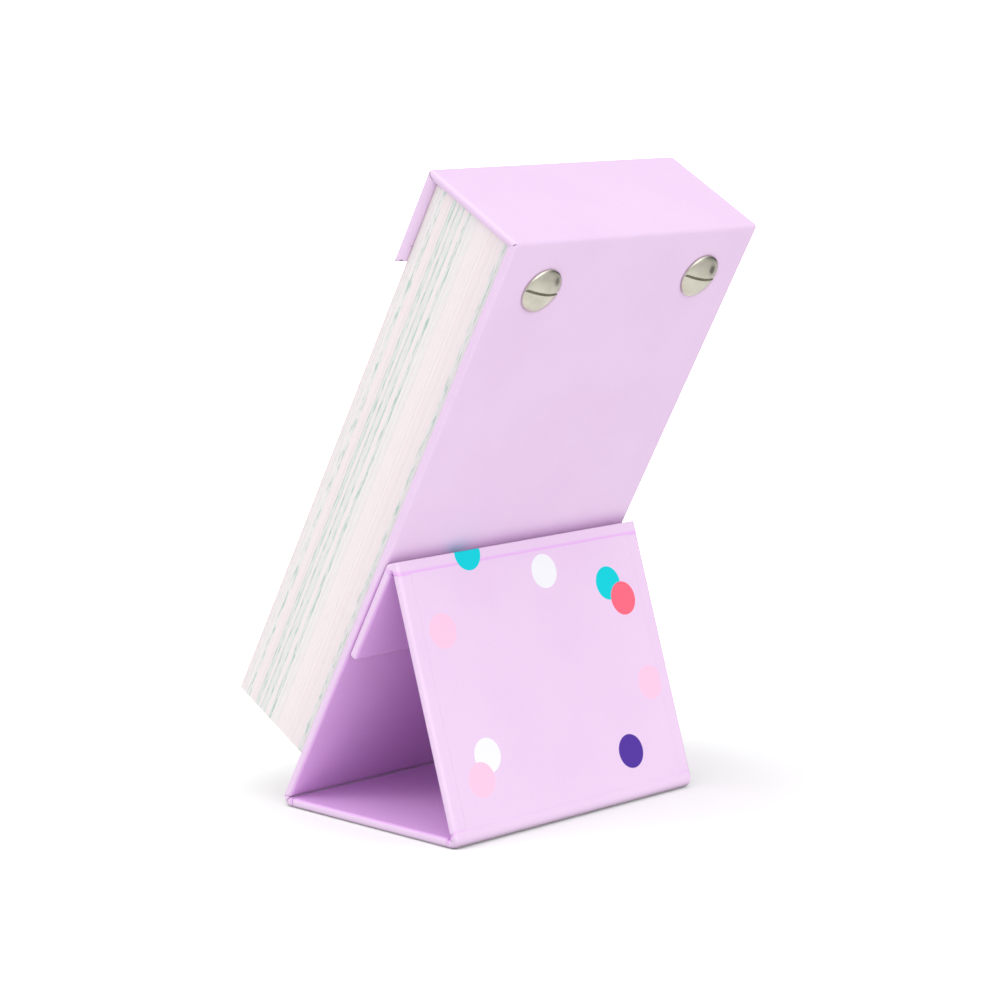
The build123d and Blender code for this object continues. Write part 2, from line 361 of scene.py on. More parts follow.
class Nodes:
    """Short hand for building the nodes of a material or of the surroundings."""

    def __init__(self, owner, shader="Principled BSDF"):
        self.owner = owner
        owner.use_nodes = True
        self.tree = owner.node_tree
        self.shader = self.tree.nodes[shader]

    def add(self, kind, sockets=(), **settings):
        node = self.tree.nodes.new(kind)
        for key, value in settings.items():
            setattr(node, key, value)
        for key, value in dict(sockets).items():
            self.put(node.inputs[key], value)
        return node

    def put(self, socket, value):
        if isinstance(value, bpy.types.NodeSocket):
            self.tree.links.new(value, socket)
        else:
            socket.default_value = value

    def set(self, **sockets):
        for key, value in sockets.items():
            self.put(self.shader.inputs[key.replace("_", " ")], value)

    def place(self):
        """Position in millimetres on the piece itself."""
        here = self.add("ShaderNodeTexCoord").outputs["Object"]
        return self.add("ShaderNodeVectorMath", {0: here, 3: 1 / MM}, operation="SCALE").outputs[0]

    def noise(self, where, scale, detail=2.0, rough=0.5):
        sockets = {"Vector": where, "Scale": scale, "Detail": detail, "Roughness": rough}
        return self.add("ShaderNodeTexNoise", sockets).outputs["Fac"]

    def span(self, value, low=0.3, high=0.7, to_low=0.0, to_high=1.0):
        sockets = {"Value": value, "From Min": low, "From Max": high, "To Min": to_low, "To Max": to_high}
        return self.add("ShaderNodeMapRange", sockets).outputs[0]

    def away(self, where):
        return self.add("ShaderNodeVectorMath", {0: where}, operation="LENGTH").outputs["Value"]

    def along(self, where, way):
        sockets = {0: where, 1: tuple(way)}
        return self.add("ShaderNodeVectorMath", sockets, operation="DOT_PRODUCT").outputs["Value"]

    def math(self, operation, a, b=0.0):
        return self.add("ShaderNodeMath", {0: a, 1: b}, operation=operation).outputs[0]

    def mix(self, share, a, b):
        node = self.add("ShaderNodeMix", data_type="RGBA")
        for socket, value in ((node.inputs[0], share), (node.inputs[6], a), (node.inputs[7], b)):
            self.put(socket, value)
        return node.outputs[2]

    def value(self, name):
        return self.add("ShaderNodeAttribute", attribute_name=name).outputs["Fac"]

    def sheen(self, grain, rough, specular, low=0.3, high=0.7):
        """Roughness that follows a grain, and how much the surface shines."""
        self.set(Roughness=self.span(grain, low, high, *rough), Specular_IOR_Level=specular)

    def bump(self, height, strength, distance):
        sockets = {"Height": height, "Strength": strength, "Distance": distance * MM}
        self.set(Normal=self.add("ShaderNodeBump", sockets).outputs[0])


def new_finish(name):
    """Nodes of a new material, and the place on the piece that its patterns follow."""
    n = Nodes(bpy.data.materials.new(name))
    return n, n.place()


KEY = 1.25  # light on a face turned to the studio, so that white paper need not be pure white


def rgb(red, green, blue):
    """Linear colour that shows as these sRGB levels, 0 to 255, in the studio's light."""
    linear = []
    for level in (red, green, blue):
        share = level / 255
        share = share / 12.92 if share <= 0.04045 else ((share + 0.055) / 1.055) ** 2.4
        linear.append(share / KEY)
    return (*linear, 1.0)


LILAC = rgb(240, 212, 243)
LILAC_DEEP = rgb(235, 205, 239)
LILAC_PALE = rgb(250, 232, 251)
# painted shade: deeper, darker lilacs that the faces inside the stand take in place of their shade
LILAC_PAINTED_SHADE = rgb(239, 191, 247)
LILAC_PAINTED_SHADE_DEEP = rgb(235, 186, 243)
DOT_RADIUS = 3.7
TEAL, WHITE, CORAL = rgb(0, 212, 222), rgb(246, 246, 251), rgb(255, 108, 132)
PINK, PURPLE = rgb(255, 203, 232), rgb(84, 52, 160)
DOTS = (  # across, along from the rear fold, colour; later ones lie on top
    (15.92, 56.9, TEAL), (-5.06, 50.23, WHITE), (-23.45, 45.07, TEAL), (-27.02, 41.22, CORAL),
    (27.33, 41.91, PINK), (-29.57, 22.02, PINK), (22.61, 14.86, WHITE), (25.6, 10.24, PINK),
    (-19.07, 8.45, PURPLE),
)


def lilac_paper(name, dotted=False, painted_shade=None):
    """Smooth printed wrapping paper with a faint fibre and rubbed edges.

    The last argument, if given, paints shade on the face that looks into the stand as a deeper, darker
    purple: a point on its fold line, the way through the paper, the way along it and how far it goes."""
    n, here = new_finish(name)
    cloud = n.noise(here, 0.06, 3.0)
    fibre = n.noise(here, 2.6, 4.0, 0.6)
    speck = n.noise(here, 9.0, 2.0)
    shade = n.math("ADD", n.span(cloud, 0.3, 0.7, 0.0, 0.6), n.span(fibre, 0.35, 0.65, 0.0, 0.4))
    colour = n.mix(shade, LILAC, LILAC_DEEP)
    # painted shade: the face that looks into the stand takes the deeper purple, up to how far it goes
    if painted_shade:
        origin, through, along, reach = painted_shade
        away = n.add("ShaderNodeVectorMath", {0: here, 1: tuple(origin)}, operation="SUBTRACT").outputs[0]
        depth, far = n.along(away, through), n.along(away, along)
        stays = n.span(far, reach - 4.0, reach, 1.0, 0.0)
        painted_shade_share = n.math("MULTIPLY", n.span(depth, 0.15, 0.5, 1.0, 0.0), stays)
        colour = n.mix(painted_shade_share, colour, n.mix(shade, LILAC_PAINTED_SHADE, LILAC_PAINTED_SHADE_DEEP))
    if dotted:
        sheet = n.add("ShaderNodeUVMap", uv_map="sheet").outputs[0]
        for across, along, ink in DOTS:
            sockets = {0: sheet, 1: (across, along, 0.0)}
            away = n.add("ShaderNodeVectorMath", sockets, operation="DISTANCE").outputs["Value"]
            ragged = n.math("ADD", away, n.span(speck, 0.3, 0.7, -0.025, 0.025))
            cover = n.span(ragged, DOT_RADIUS - 0.06, DOT_RADIUS + 0.06, 1.0, 0.0)
            colour = n.mix(cover, colour, ink)
    rubbed = n.math("MULTIPLY", n.value("wear"), n.span(n.noise(here, 0.5, 4.0), 0.45, 0.8, 0.03, 0.3))
    n.set(Base_Color=n.mix(rubbed, colour, LILAC_PALE))
    n.sheen(fibre, (0.4, 0.52), 0.16)
    height = n.math("ADD", n.math("MULTIPLY", fibre, 0.6), n.math("MULTIPLY", speck, 0.4))
    n.bump(height, 0.12, 0.03)
    return n.owner


def greyboard():
    """Pressed grey board with dark and light fibres."""
    n, here = new_finish("greyboard")
    long_way = n.add("ShaderNodeVectorMath", {0: here, 1: (0.4, 1.6, 1.6)}, operation="MULTIPLY").outputs[0]
    fibre = n.noise(long_way, 2.2, 5.0, 0.65)
    fleck = n.noise(here, 3.4, 3.0)
    colour = n.mix(n.span(fibre), rgb(150, 143, 133), rgb(186, 179, 168))
    colour = n.mix(n.span(fleck, 0.62, 0.72, 0.0, 0.7), colour, rgb(98, 92, 86))
    n.set(Base_Color=colour)
    n.sheen(fibre, (0.8, 0.95), 0.2)
    n.bump(fibre, 0.3, 0.05)
    return n.owner


def leaf_face():
    """Uncoated white leaf paper."""
    n, here = new_finish("leaf_paper")
    fibre = n.noise(here, 3.0, 5.0, 0.6)
    cloud = n.noise(here, 0.12, 3.0)
    shade = n.math("MULTIPLY", n.span(fibre), n.span(cloud, 0.3, 0.7, 0.5, 1.0))
    n.set(Base_Color=n.mix(shade, rgb(250, 247, 247), rgb(243, 239, 240)))
    n.sheen(fibre, (0.6, 0.75), 0.3)
    n.bump(fibre, 0.1, 0.02)
    return n.owner


def leaf_edge():
    """Cut edges of the leaves, with the leaves' printed margins showing as broken mint lines."""
    n, here = new_finish("leaf_edge")
    run, deep = n.along(here, UP), n.along(here, OUT)

    def stretched(run_scale, deep_scale):
        sockets = {0: n.math("MULTIPLY", run, run_scale), 1: n.math("MULTIPLY", deep, deep_scale)}
        return n.add("ShaderNodeCombineXYZ", sockets).outputs[0]

    dash = n.noise(stretched(0.26, 2.2), 1.0, 2.0, 0.55)
    hair = n.noise(stretched(0.25, 9.0), 1.0, 3.0, 0.6)
    paper = n.mix(n.span(hair), rgb(252, 246, 247), rgb(247, 239, 241))
    paper = n.mix(n.value("rose"), paper, rgb(250, 230, 234))
    solid = n.math("MULTIPLY", n.value("mint"), n.span(hair, 0.2, 0.8, 0.55, 1.0))
    colour = n.mix(solid, paper, rgb(214, 228, 222))
    broken = n.math("MULTIPLY", n.value("dash"), n.span(dash, 0.5, 0.62))
    n.set(Base_Color=n.mix(broken, colour, rgb(172, 206, 194)))
    n.sheen(hair, (0.65, 0.85), 0.25, 0.2, 0.8)
    n.bump(hair, 0.15, 0.03)
    return n.owner


def print_ink():
    """Flat offset ink that lets a little paper through."""
    n, here = new_finish("print_ink")
    grain = n.noise(here, 7.0, 3.0)
    n.set(Base_Color=n.mix(n.span(grain, 0.35, 0.75), rgb(84, 52, 150), rgb(104, 76, 166)))
    n.sheen(grain, (0.5, 0.65), 0.35)
    return n.owner


def nickel(name, bright, dull, rough):
    """Plated metal, faintly turned and with a few fine rubs."""
    n, here = new_finish(name)
    cloud = n.noise(here, 0.35, 3.0)
    rub = n.noise(here, 6.0, 5.0, 0.65)
    n.set(Base_Color=n.mix(n.span(cloud), bright, dull), Metallic=1.0)
    dulled = n.span(rub, 0.4, 0.75, rough, rough + 0.14)
    n.set(Roughness=n.math("ADD", dulled, n.span(cloud, 0.3, 0.7, 0.0, 0.05)))
    n.bump(rub, 0.05, 0.02)
    return n.owner


def floor_paper():
    """White sweep with a painted glow: faint near the part and rising to plain white away from it."""
    n, here = new_finish("floor_paper")
    grain = n.noise(here, 0.02, 2.0)
    n.set(Base_Color=n.mix(n.span(grain), rgb(252, 252, 252), rgb(251, 251, 251)))
    n.sheen(grain, (0.85, 0.9), 0.1)
    # painted glow: lightens the floor's shadow a little near the part and makes the floor plain white
    # further out
    n.set(Emission_Color=(1.0, 1.0, 1.0, 1.0), Emission_Strength=n.span(n.away(here), 60.0, 420.0, 0.1, 1.1))
    return n.owner


def card_paper(name, near_glow, far_glow):
    """Black studio card off camera that may glow, less so away from its middle."""
    n, here = new_finish(name)
    grain = n.noise(here, 0.05, 2.0)
    n.set(Base_Color=n.mix(n.span(grain), rgb(16, 16, 16), rgb(12, 12, 12)))
    n.sheen(grain, (0.85, 0.95), 0.0)
    glow = near_glow
    if far_glow != near_glow:
        glow = n.span(n.away(here), 170.0, 330.0, near_glow, far_glow)
    n.set(Emission_Color=(1.0, 0.985, 0.95, 1.0), Emission_Strength=glow)
    return n.owner


APEX_ALONG = (APEX - LOWER) @ UP
ALL_THE_WAY = 200.0
# lilac papers whose faces inside the stand carry a painted shade as a deeper purple
papers_with_painted_shade = {
    "base": lilac_paper("base_paper", painted_shade=(LOWER, -Z, Y, ALL_THE_WAY)),
    "stand": lilac_paper("stand_paper", painted_shade=(REAR, OUT_STAND, UP_STAND, ALL_THE_WAY)),
    "tuck": lilac_paper("tuck_paper", painted_shade=(APEX, OUT, -UP, ALL_THE_WAY)),
    "case": lilac_paper("case_paper", painted_shade=(LOWER, OUT, UP, APEX_ALONG - 1.0)),
}
dotted_paper = lilac_paper("dotted_paper", dotted=True)
plain_lining = lilac_paper("lining_paper")
board_grey = greyboard()
leaf_white = leaf_face()
leaf_cut = leaf_edge()
ink = print_ink()
plated = nickel("nickel", rgb(226, 223, 210), rgb(212, 209, 196), 0.16)
dull_plated = nickel("magnet_plate", rgb(205, 205, 206), rgb(188, 188, 190), 0.3)


# Covered panels

FOLD_EASE = 0.1  # rounding of a panel's end beside a fold
FREE_EASE = 0.7  # rounding of a free end and of the side edges
PLAY = 0.01  # board to the paper round it
MAGNET_DROP = 12.0  # from the apex fold
MAGNET_X = 20.0
MAGNET_SEAT = 4.05  # radius
SHEET_PLAY = 0.015  # lining's rim to the turn-in beside it


def board_core(name, body, line, ends, holes=(), **shape):
    """The greyboard inside a wrapped panel, with its edges eased as the paper over it is."""
    core = bar(f"{name}_core", line, eased(*ends, FOLD_EASE, FOLD_EASE), FREE_EASE, PAPER + PLAY, **shape)
    if holes:
        carve(core, holes)
    dress(core, board_grey, f"{name}_board", body)


def magnet_seats(spot, through, low, high):
    """Cutters for the two round seats of a panel's magnets."""
    seats = [circle(x, 0.0, MAGNET_SEAT, 40) for x in (-MAGNET_X, MAGNET_X)]
    return [prism(seat, low, high, spot, X, UP, through) for seat in seats]


def covered_panel(name, body, origin, along, through, stop, free, proud, dotted=False, holes=()):
    """Cover paper wrapped round a board, and the lining sheet let in between its turn-ins."""
    line = flat(origin, along, through)
    last = FREE_EASE if free else FOLD_EASE
    cover = bar(f"{name}_wrap", line, eased(FOLD_GAP, stop, FOLD_EASE, last), FREE_EASE)
    inner_stop = stop - PAPER if free else stop + FOLD_GAP
    sheet_stop = stop - TURN_IN if free else stop + FOLD_GAP
    window = HALF - TURN_IN
    carve(cover, [
        bar("cutter", line, [(0.0, 0.0), (inner_stop, 0.0)], FREE_EASE, PAPER),
        block(line, (0.0, sheet_stop), window, THICK / 2, THICK + PAPER),
    ])
    give_wear(cover, (points_of(cover) - origin) @ through)
    dress(cover, papers_with_painted_shade[name], f"{name}_cover", body)
    board_core(name, body, line, (FOLD_GAP, inner_stop - PLAY if free else stop), holes)

    ends = (FOLD_GAP, stop - TURN_IN - SHEET_PLAY if free else stop)
    sheet = lining_sheet(f"{name}_sheet", line, ends, window - SHEET_PLAY, THICK - PAPER, THICK + proud)
    give_map(sheet, points_of(sheet)[:, 0], (points_of(sheet) - origin) @ along)
    dress(sheet, dotted_paper if dotted else plain_lining, f"{name}_lining", body)


RIM_EASE, RIM_RADIUS = 0.04, 0.055  # of a lining sheet


def lining_sheet(name, line, ends, half, near, far):
    """Thin sheet with softly rounded rims."""
    rings = []
    for s, inset in eased(*ends, RIM_EASE, RIM_EASE, steps=2, hold=0.3):
        point, through = line(s)
        radius = max(RIM_RADIUS - inset, 0.005)
        section = rounded(half - inset, near + inset, far - inset, radius, steps=2, hold=0.02)
        rings.append([point + x * X + d * through for x, d in section])
    return loft(name, rings)


covered_panel("base", "base", LOWER, Y, -Z, BASE_END, False, 0.0)
covered_panel("stand", "stand", REAR, UP_STAND, OUT_STAND, STAND_END, False, 0.03, dotted=True)
tuck_seats = magnet_seats(APEX - MAGNET_DROP * UP, OUT, THICK - PAPER - 1.05, THICK + 1.0)
covered_panel("tuck", "tuck_flap", APEX, -UP, OUT, TUCK_END, True, 0.03, holes=tuck_seats)

# The case: one cover and one lining over back, top and flap
LEVEL = math.tan(LEAN)  # slant that makes the foot of the back panel and of the flap level
FOOT_GAP = 0.45  # the back panel's foot to the fold line
case_places = eased(FOOT_GAP, FLAP_STOP, FOLD_EASE, 0.3)
case_places += [(s, 0.0) for s in case_bends(5)]
case_places += [(FLAP_START + 3.0, 0.0), (FLAP_START + 3.3, 0.0)]
case_places.sort(key=lambda place: place[0])
INNER_SOFT = 1.25  # corner radius of the inner face over the top and the flap
soft_edges = {"soft_from": TOP_START - ZONE / 2, "soft": INNER_SOFT}
case_cover = bar("case_wrap", case_line, case_places, FREE_EASE, slants=(LEVEL, LEVEL), **soft_edges)
void_places = (FOOT_GAP + PAPER, *case_bends(5), FLAP_STOP - 1.5, FLAP_STOP - PAPER)


def post_holes(low, high):
    """Cutters for the two binding holes between two depths."""
    spot = LOWER + POST_ALONG * UP
    return [prism(circle(x, 0.0, POST_HOLE, 40), low, high, spot, X, UP, OUT) for x in (-POST_X, POST_X)]


# Cuts in the sides of the case, points (depth, along)
seam_top = np.array((CASE_DEPTH - 0.025, CASE_HEIGHT + 0.05))
seam_bulge = np.array((CASE_DEPTH - 0.975, CASE_HEIGHT - 1.45))
seam_foot = np.array((FRONT_INSIDE + 0.025, CASE_HEIGHT - 1.65))
front_seam = []
for t in np.linspace(0.0, 1.0, 11):
    front_seam.append((1 - t) ** 2 * seam_top + 2 * t * (1 - t) * seam_bulge + t * t * seam_foot)
rear_seam = [(0.15 + 0.55 * t, CASE_HEIGHT - 0.05 - 0.75 * t) for t in np.linspace(0.0, 1.0, 4)]
flap_nick = [(FRONT_INSIDE - 0.2, FRONT_LOW + 4.9), (FRONT_INSIDE + 0.12, FRONT_LOW + 4.94)]
outer_tuck = [(CASE_DEPTH - 0.1, FRONT_LOW + 0.38), (CASE_DEPTH - 0.75, FRONT_LOW + 0.74)]
inner_tuck = [(FRONT_INSIDE + 0.2, FRONT_LOW + 1.4), (FRONT_INSIDE + 0.75, FRONT_LOW + 1.08)]
case_cuts = (  # points, width and depth of the cut
    (front_seam, 0.2, 0.6), (rear_seam, 0.16, 0.5), (flap_nick, 0.6, 1.5),
    (outer_tuck, 0.26, 0.9), (inner_tuck, 0.26, 0.9),
)
WINDOW_LAP = 0.05  # the top's bare window runs into the windows of the back and the flap
bare = {"half": HALF - TURN_IN, "near": THICK / 2, "far": THICK + PAPER}
top_line = flat(case_line(TOP_START)[0], OUT, -UP)
void = [(s, 0.0) for s in void_places]
cutters = []
for side in (-1, 1):
    cutters += [thin_cut(points, width, deep, side, LOWER, OUT, UP) for points, width, deep in case_cuts]
cutters += [
    bar("cutter", case_line, void, FREE_EASE, PAPER, slants=(LEVEL, LEVEL), **soft_edges),
    block(case_line, (-1.0, TOP_INSIDE), **bare),
    block(top_line, (-WINDOW_LAP, TOP_STOP - TOP_START + WINDOW_LAP), **bare),
    block(case_line, (FLAP_START, FLAP_STOP - TURN_IN), **bare),
]
cutters += post_holes(-1.0, THICK + 1.0) + post_holes(FRONT_INSIDE - 1.0, CASE_DEPTH + 1.0)
carve(case_cover, cutters)
away = points_of(case_cover) - LOWER
depth, along = away @ OUT, away @ UP
through = np.minimum(np.minimum(depth, CASE_DEPTH - depth), CASE_HEIGHT - along)
give_wear(case_cover, through)
dress(case_cover, papers_with_painted_shade["case"], "case_cover", "case")

back_seats = magnet_seats(LOWER + (APEX_ALONG - MAGNET_DROP) * UP, OUT, -1.0, 1.2)
board_core("back", "case", case_line, (FOLD_GAP, TOP_INSIDE), post_holes(-1.0, 3.0) + back_seats)
board_core("top", "case", case_line, (TOP_START, TOP_STOP), **soft_edges)
front_ends = (FLAP_START, FLAP_STOP - PAPER - PLAY)
front_holes = post_holes(FRONT_INSIDE - 1.0, CASE_DEPTH + 1.0)
board_core("front", "case", case_line, front_ends, front_holes, slants=(0.0, LEVEL), **soft_edges)

LINING_FACE = THICK - PAPER
lining_track = (  # outer face then inner face, mitred at the two inside corners
    ((LINING_FACE, -0.1), (THICK, -0.1)),
    ((LINING_FACE, TOP_INSIDE + PAPER), (THICK, TOP_INSIDE)),
    ((FRONT_INSIDE + PAPER, TOP_INSIDE + PAPER), (FRONT_INSIDE, TOP_INSIDE)),
    ((FRONT_INSIDE + PAPER, FRONT_LOW + TURN_IN + 0.04), (FRONT_INSIDE, FRONT_LOW + TURN_IN + 0.04)),
)
edge = (HALF - TURN_IN - SHEET_PLAY) * X
rings = []
for places in lining_track:
    outer, inner = (case_spot(*place) for place in places)
    rings.append([outer - edge, outer + edge, inner + edge, inner - edge])
case_sheet = loft("case_sheet", rings)
carve(case_sheet, post_holes(0.0, THICK + 1.0) + post_holes(FRONT_INSIDE - 1.0, CASE_DEPTH))
dress(case_sheet, plain_lining, "case_lining", "case")


# Folds

SLIT = 0.06  # between a fold's paper and the panel's end
LAP = 0.4  # lining paper that runs on over the panel from the fold
SKIN = 0.03  # how far that paper stands proud
LIFT = SKIN + 0.006
CREASE = 0.34  # from the panel's end to the crease beside the inner bead
SHARP = 18  # how crisp the ridge over the stand is
GASH = (0.2, 0.5)  # width and depth of a cut in a fold's end


def outer_curve(through_a, through_b, ridge, count):
    """Outside of a fold from one panel's face to the other's, round or with a flat ridge."""
    sweep = math.acos(np.clip(through_a @ through_b, -1, 1))
    other = through_b - (through_b @ through_a) * through_a
    other = other / np.linalg.norm(other)
    points = []
    for t in np.linspace(0, sweep, count):
        ray = math.cos(t) * through_a + math.sin(t) * other
        radius = THICK
        if ridge:
            faces = ((through_a, THICK), (through_b, THICK), ridge)
            radius = sum((max(ray @ n, 0.0) / d) ** SHARP for n, d in faces) ** (-1 / SHARP)
        points.append(radius * ray)
    return points


def fold_section(a, through_a, b, through_b, bead, groove, ridge, foot_b, laps, nose, hollow):
    """Outline of the paper bent round a fold: points, unrolled lengths, the way in at the ends."""
    gap_b, slant = foot_b

    def outer_end(along, through, gap, tip, start, sign, lap):
        """From the slit outwards, and along the panel where the paper runs on over it."""
        foot = gap - SLIT - tip * THICK
        spots = [(foot, THICK - 0.12)]
        if lap:
            spots += [(foot + LAP, THICK + SKIN - 0.02), (foot + LAP, THICK + SKIN - 0.004)]
        spots.append((foot - 0.1, THICK + lap * LIFT))
        return [(s * along + d * through, start + sign * s, -through) for s, d in spots]

    def inner_end(along, through, gap, tip, start, sign, deep):
        """From the slit inwards to the crease beside the bead."""
        reach = gap - SLIT
        spots = [(reach, 0.1), (reach - 0.05, 0.03), (reach - 0.14, 0.03), (reach - 0.2, 0.1)]
        spots.append((gap - CREASE, deep))
        return [((s - tip * d) * along + d * through, start + sign * s, through) for s, d in spots]

    curve = outer_curve(through_a, through_b, ridge, 49)
    steps = [np.linalg.norm(q - p) for p, q in zip(curve, curve[1:])]
    lengths = np.concatenate(([0.0], np.cumsum(steps)))
    far = lengths[-1]
    rows = outer_end(a, through_a, FOLD_GAP, 0.0, 0.0, -1, laps[0])
    for point, length in zip(curve, lengths):
        if slant and (point @ b) > gap_b - SLIT - slant * THICK - 0.15:
            break
        share = length / far
        lift = 1 + LIFT / THICK * (laps[0] * (1 - share) + laps[1] * share)
        way_in = -point / np.linalg.norm(point) * (1 + nose * math.sin(math.pi * share) ** 2)
        rows.append((point * lift, length, way_in))
    rows += outer_end(b, through_b, gap_b, slant, far, 1, laps[1])[::-1]
    middle = (a + b) / np.linalg.norm(a + b)
    if hollow:
        rows += [(y * Y + z * Z, far / 2, -middle) for y, z in hollow]
        return [np.array(column) for column in zip(*rows)]
    rows += inner_end(b, through_b, gap_b, slant, far, 1, groove)
    across = np.cross(X, middle)
    across = across if across @ b > 0 else -across
    for t in np.linspace(1.25, -1.25, 11):
        spot = bead * (math.cos(t) * middle + math.sin(t) * across)
        rows.append((spot, far / 2 + bead * t, -middle))
    rows += inner_end(a, through_a, FOLD_GAP, 0.0, 0.0, -1, groove)[::-1]
    return [np.array(column) for column in zip(*rows)]


def fold_roll(name, node, pivot, a, through_a, b, through_b, start, bead=0.42, groove=0.35,
              ridge=None, foot_b=(FOLD_GAP, 0.0), laps=(0, 0), nose=0.0, hollow=(), gashes=(), dotted=False):
    """The wrapped paper at a fold: it stays round while the two panels swing about the fold."""
    section, lengths, way_in = fold_section(
        a, through_a, b, through_b, bead, groove, ridge, foot_b, laps, nose, hollow,
    )
    rings = []
    for x, inset in eased(-HALF, HALF, FREE_EASE, FREE_EASE, steps=6, hold=0.3):
        rings.append([pivot + p + min(inset, 0.55) * w + x * X for p, w in zip(section, way_in)])
    roll = loft(name, rings)
    if dotted:
        give_map(roll, points_of(roll)[:, 0], start + np.tile(lengths, len(rings)))
    if gashes:
        sides = [(points, side) for points in gashes for side in (-1, 1)]
        carve(roll, [thin_cut(points, *GASH, side, pivot, Y, Z) for points, side in sides])
    x = points_of(roll)[:, 0]
    give_value(roll, "wear", 0.8 * np.clip(1 - (HALF - np.abs(x)) / 0.6, 0, 1))
    middle = (a + b) / np.linalg.norm(a + b)
    # the roll's inner side, inside the stand, carries the painted shade as a deeper purple
    settle(roll, lilac_paper(name, dotted, (pivot, -middle, X, ALL_THE_WAY)))
    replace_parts(roll, node)
    way = b - a + through_b - through_a
    way = way / np.linalg.norm(way)
    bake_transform(roll)


fold_roll(
    "lower_fold_roll", "lower_fold_strip", LOWER, Y, -Z, UP, OUT, 0.0,
    foot_b=(FOOT_GAP, LEVEL), nose=0.6,
    hollow=(
        (-1.0, 0.33), (-0.98, 0.42), (-0.7, 0.42), (-0.62, 0.3), (-0.6, -0.1), (-0.45, -0.25), (-0.2, -0.25),
        (-0.08, -0.15), (0.0, -0.06), (0.12, 0.02), (0.27, 0.05), (0.42, 0.02), (0.52, -0.06), (0.58, -0.2),
        (0.64, -0.32), (0.74, -0.3), (0.78, -0.1), (0.84, -0.02), (0.9, -0.03), (0.94, -0.1),
    ),
    gashes=([(-1.15, -1.0), (-0.75, -0.45), (-0.1, -0.1), (0.5, -0.02)],),
)
fold_roll(
    "rear_fold_roll", "rear_fold_strip", REAR, -Y, -Z, UP_STAND, OUT_STAND, -60.0,
    laps=(0, 1), nose=1.6, gashes=([(-0.15, 0.27), (0.25, 0.0), (0.66, -0.33)],),
)
fold_roll(
    "apex_fold_roll", "apex_fold_strip", APEX, -UP_STAND, OUT_STAND, -UP, OUT,
    STAND_LENGTH, bead=0.1, groove=0.06, ridge=(np.array((0.0, -0.25, 0.968)), 1.68),
    laps=(1, 1), dotted=True,
)


# Leaves

PRINT_BANDS = (  # from and to as shares of the pad from its front, how minty, dashed and rosy
    (0.00, 0.02, 0.0, 0.1, 0.9), (0.02, 0.10, 0.1, 0.15, 0.1), (0.10, 0.14, 0.3, 1.0, 0.0),
    (0.14, 0.235, 0.0, 0.0, 0.4), (0.235, 0.28, 0.85, 0.7, 0.0), (0.28, 0.31, 0.05, 0.0, 0.15),
    (0.31, 0.33, 0.9, 0.8, 0.0), (0.33, 0.37, 0.35, 0.2, 0.0), (0.37, 0.39, 0.95, 0.85, 0.0),
    (0.39, 0.435, 0.0, 0.0, 0.2), (0.435, 0.475, 0.6, 0.9, 0.0), (0.475, 0.56, 0.15, 0.1, 0.0),
    (0.56, 0.735, 0.0, 0.0, 0.25), (0.735, 0.75, 0.1, 0.0, 0.95), (0.75, 0.9, 0.0, 0.0, 0.4),
    (0.9, 0.945, 0.3, 1.0, 0.0), (0.945, 1.0, 0.4, 0.0, 0.0),
)
TOOTH, TOOTH_PITCH = 0.22, 1.2  # of the perforated edges
LEAF_PLAY = 0.002  # each leaf to its share of the pad
LEAF_SHIFT = 0.018  # most that a leaf lies off its place


def leaf_print(depth):
    share = (TODAY_FRONT - depth) / (TODAY_FRONT - THICK)
    for low, high, mint, dash, rose in PRINT_BANDS:
        if low <= share <= high:
            return mint, dash, rose
    return 0.0, 0.0, 0.0


def leaf_end(place, teeth):
    """Points of a leaf's straight or perforated end."""
    if not teeth:
        return [(-PAD_HALF, place), (PAD_HALF, place)]
    count = int(round(2 * PAD_HALF / TOOTH_PITCH)) * 2
    xs = np.linspace(-PAD_HALF, PAD_HALF, count + 1)
    return [(x, place - (TOOTH if k % 2 else 0.0)) for k, x in enumerate(xs)]


def leaf_outline(low, high, low_teeth=False, high_teeth=False):
    return leaf_end(low, low_teeth) + leaf_end(high, high_teeth)[::-1]


def leaf_stack(name, depths, outline, punched, shift):
    """Single leaves, each a thin sheet with its own slight offset."""
    loops = [outline]
    if punched:
        loops += [circle(x, POST_ALONG, POST_HOLE, 16) for x in (-POST_X, POST_X)]
    sheet = np.array([p for points in loops for p in points])
    triangles = geometry.tessellate_polygon([[Vector((*p, 0.0)) for p in points] for points in loops])
    count = len(sheet)
    verts, faces, edge_faces, prints = [], [], [], []
    for depth in depths:
        base = len(verts)
        dx, ds = rng.uniform(-shift, shift, 2)
        for d in (depth + LEAF_PLAY, depth + LEAF - LEAF_PLAY):
            verts += [case_spot(d, s + ds) + (x + dx) * X for x, s in sheet]
        for i, j, k in triangles:
            faces += [(base + i, base + j, base + k), (base + count + k, base + count + j, base + count + i)]
            edge_faces += [False, False]
        first = 0
        for points in loops:
            for k in range(len(points)):
                i, j = first + k, first + (k + 1) % len(points)
                faces.append((base + i, base + j, base + count + j, base + count + i))
                edge_faces.append(True)
            first += len(points)
        prints += [np.clip(np.array(leaf_print(depth)) * rng.uniform(0.45, 1.3), 0, 1)] * (2 * count)
    leaves = new_object(name, verts, faces)
    for index, word in enumerate(("mint", "dash", "rose")):
        give_value(leaves, word, [p[index] for p in prints])
    settle(leaves, leaf_white)
    leaves.data.materials.append(leaf_cut)
    leaves.data.polygons.foreach_set("material_index", [int(e) for e in edge_faces])
    return leaves


whole_leaf = leaf_outline(PAD_LOW, PAD_HIGH)
near = THICK
for month, days in reversed(MONTHS):
    depths = [near + k * LEAF for k in range(days)]
    stack = leaf_stack(f"{month}_pages", depths, whole_leaf, True, LEAF_SHIFT)
    near += days * LEAF
    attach(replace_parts(stack, f"{month}_leaves"), "case")

